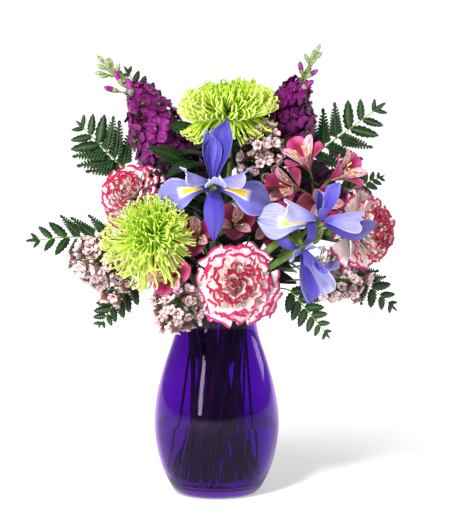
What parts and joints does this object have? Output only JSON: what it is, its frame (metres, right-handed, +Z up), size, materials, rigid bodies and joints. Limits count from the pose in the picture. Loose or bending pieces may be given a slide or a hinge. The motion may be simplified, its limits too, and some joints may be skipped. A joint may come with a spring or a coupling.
{
  "type": "flower bouquet in a glass vase",
  "caption": "Mixed bouquet of irises, carnations, spider chrysanthemums, stocks, alstroemeria, wax flower and fern in a pear-shaped violet glass vase with water.",
  "frame": {"origin": "centre of the flat foot that the vase stands on", "axes": "+Z up along the vase's axis; the front of the bouquet faces -Y, and +X is to the viewer's right"},
  "size_m": [0.3732, 0.2524, 0.456],
  "materials": {
    "violet_glass": "clear saturated violet-blue glass, polished",
    "water": "still clear water",
    "stalk_green": "fresh green stalk, satin",
    "iris_blue": "soft blue-violet petal with a yellow signal",
    "iris_violet": "deep violet petal",
    "carnation_picotee": "cream ruffled petal with a crimson edge",
    "mum_lime": "lime green quill petals",
    "stock_magenta": "velvety magenta-purple petals",
    "lily_rose": "rose petal with a striped cream throat",
    "wax_blush": "small waxy blush cups",
    "fern_green": "dark green leathery frond, satin"
  },
  "bodies": {
    "root": {"vase": "violet_glass", "water": "water", "iris_left_stem": "stalk_green", "iris_left_falls": "iris_blue", "iris_left_standards": "iris_violet", "iris_left_styles": "iris_violet", "iris_right_stem": "stalk_green", "iris_right_falls": "iris_blue", "iris_right_standards": "iris_violet", "iris_right_styles": "iris_violet", "iris_low_stem": "stalk_green", "iris_low_falls": "iris_blue", "iris_low_standards": "iris_violet", "iris_low_styles": "iris_violet", "carnation_left_stem": "stalk_green", "carnation_left_bloom": "carnation_picotee", "carnation_center_stem": "stalk_green", "carnation_center_bloom": "carnation_picotee", "carnation_right_stem": "stalk_green", "carnation_right_bloom": "carnation_picotee", "carnation_back_stem": "stalk_green", "carnation_back_bloom": "carnation_picotee", "mum_top_stem": "stalk_green", "mum_top_head": "mum_lime", "mum_left_stem": "stalk_green", "mum_left_head": "mum_lime", "stock_left_stem": "stalk_green", "stock_left_flowers": "stock_magenta", "stock_left_bud_tip": "stalk_green", "stock_right_stem": "stalk_green", "stock_right_flowers": "stock_magenta", "stock_right_bud_tip": "stalk_green", "alstroemeria_right_stem": "stalk_green", "alstroemeria_right_flower_1": "lily_rose", "alstroemeria_right_flower_2": "lily_rose", "alstroemeria_right_flower_3": "lily_rose", "alstroemeria_right_flower_4": "lily_rose", "alstroemeria_center_stem": "stalk_green", "alstroemeria_center_flower_1": "lily_rose", "alstroemeria_center_flower_2": "lily_rose", "alstroemeria_center_flower_3": "lily_rose", "alstroemeria_low_stem": "stalk_green", "alstroemeria_low_flower_1": "lily_rose", "wax_left_spray": "wax_blush", "wax_bottom_spray": "wax_blush", "wax_top_spray": "wax_blush", "wax_right_spray": "wax_blush", "wax_back_spray": "wax_blush", "fern_left_top": "fern_green", "fern_left": "fern_green", "fern_left_low": "fern_green", "fern_lower_left": "fern_green", "fern_right_top": "fern_green", "fern_right": "fern_green", "fern_right_low": "fern_green", "fern_lower_right": "fern_green", "fern_back": "fern_green", "fern_back_low": "fern_green"}
  },
  "joints": []
}
